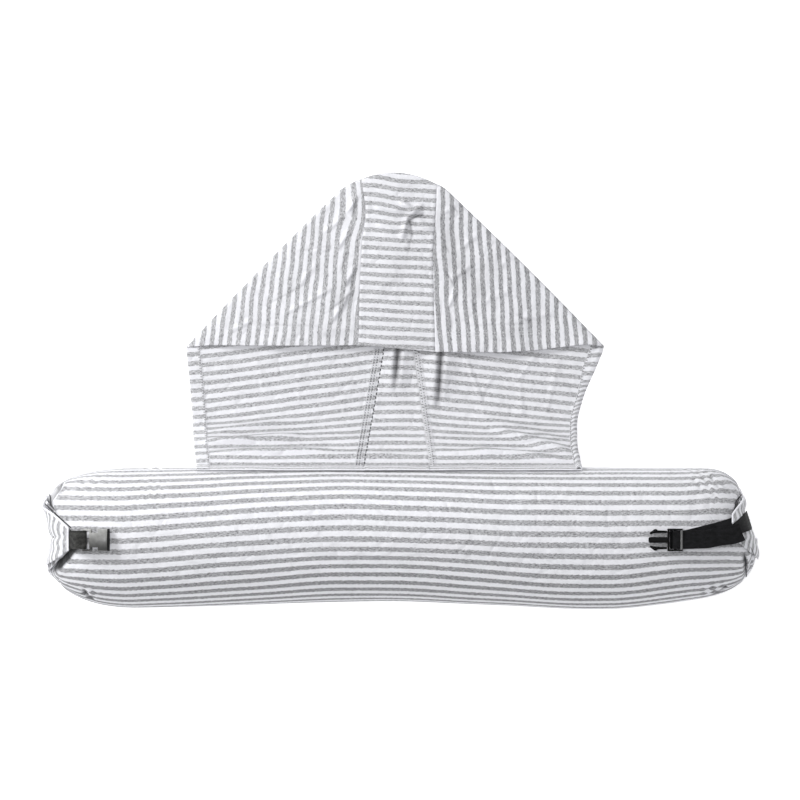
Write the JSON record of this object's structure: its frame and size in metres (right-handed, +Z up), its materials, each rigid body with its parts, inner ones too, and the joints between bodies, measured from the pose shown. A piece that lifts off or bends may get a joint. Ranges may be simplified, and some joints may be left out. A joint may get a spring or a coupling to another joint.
{
  "type": "hooded nursing pillow",
  "caption": "Long stuffed jersey bolster with a fold-over hood on its back edge and a buckled webbing strap on its ends, for wearing as a support ring.",
  "frame": {"origin": "middle of the flat patch that the bolster rests on, on the surface", "axes": "+X along the bolster towards the end with the black strap and plug, +Y from the bolster towards the hood, +Z up"},
  "size_m": [0.7499, 0.4571, 0.1459],
  "materials": {
    "jersey": "matte",
    "liner_cloth": "matte",
    "fibre_fill": "matte",
    "charcoal_webbing": "matte",
    "black_webbing": "matte",
    "grey_plastic": "satin",
    "black_plastic": "satin",
    "zipper_tape": "matte",
    "zipper_coil": "satin",
    "zipper_metal": "satin"
  },
  "bodies": {
    "pillow": {"filling": "fibre_fill", "inner_bag": "liner_cloth", "cover_body": "jersey", "cover_left_end": "jersey", "cover_right_end": "jersey", "zipper_tape_upper": "zipper_tape", "zipper_tape_lower": "zipper_tape", "zipper_teeth": "zipper_coil", "zipper_stops": "zipper_metal"},
    "zip_slider": {"zipper_slider": "zipper_metal"},
    "zip_pull": {"zipper_pull": "zipper_metal"},
    "hood": {"hood_left_back": "jersey", "hood_center_back": "jersey", "hood_right_back": "jersey"},
    "hood_brim": {"hood_left_front": "jersey", "hood_center_front": "jersey", "hood_right_front": "jersey"},
    "left_strap": {"left_tab": "jersey", "left_webbing": "charcoal_webbing"},
    "socket": {"female_buckle": "grey_plastic"},
    "right_strap": {"right_tab": "jersey", "right_webbing": "black_webbing"},
    "plug": {"male_buckle": "black_plastic", "webbing_tail": "black_webbing"},
    "latch_back": {"latch_arm_back": "black_plastic"},
    "latch_front": {"latch_arm_front": "black_plastic"}
  },
  "joints": [
    {"name": "hood_fold", "type": "hinge", "parent": "pillow", "child": "hood", "pos_m": [0, 0.0709, 0.0898], "axis": [1, 0, 0], "range_deg": [0, 170]},
    {"name": "hood_open", "type": "hinge", "parent": "hood", "child": "hood_brim", "pos_m": [-0.012, 0.384, 0.003], "axis": [-1, 0, 0], "range_deg": [0, 35]},
    {"name": "left_strap_swing", "type": "hinge", "parent": "pillow", "child": "left_strap", "pos_m": [-0.376, -0.0021, 0.07], "axis": [0, -1, 0], "range_deg": [0, 150]},
    {"name": "socket_pivot", "type": "hinge", "parent": "left_strap", "child": "socket", "pos_m": [-0.33209, -0.0021, 0.13864], "axis": [0, -1, 0], "range_deg": [0, 60]},
    {"name": "right_strap_swing", "type": "hinge", "parent": "pillow", "child": "right_strap", "pos_m": [0.3755, -0.0021, 0.07], "axis": [0, 1, 0], "range_deg": [0, 150]},
    {"name": "strap_adjust", "type": "slide", "parent": "right_strap", "child": "plug", "axis": [-1, 0, 0], "range_m": [0, 0.042]},
    {"name": "latch_back_squeeze", "type": "hinge", "parent": "plug", "child": "latch_back", "pos_m": [0.2783, 0.0064, 0.1414], "axis": [0, 0, 1], "range_deg": [0, 7], "stiffness_Nm_per_rad": 0.3},
    {"name": "latch_front_squeeze", "type": "hinge", "parent": "plug", "child": "latch_front", "pos_m": [0.2783, -0.0106, 0.1414], "axis": [0, 0, -1], "range_deg": [0, 7], "stiffness_Nm_per_rad": 0.3},
    {"name": "zipper_slide", "type": "slide", "parent": "pillow", "child": "zip_slider", "axis": [-1, 0, 0], "range_m": [0, 0.455]},
    {"name": "zipper_pull_swing", "type": "hinge", "parent": "zip_slider", "child": "zip_pull", "pos_m": [0.234, 0.07114, 0.03811], "axis": [0, -0.342, -0.9397], "range_deg": [0, 160]}
  ]
}
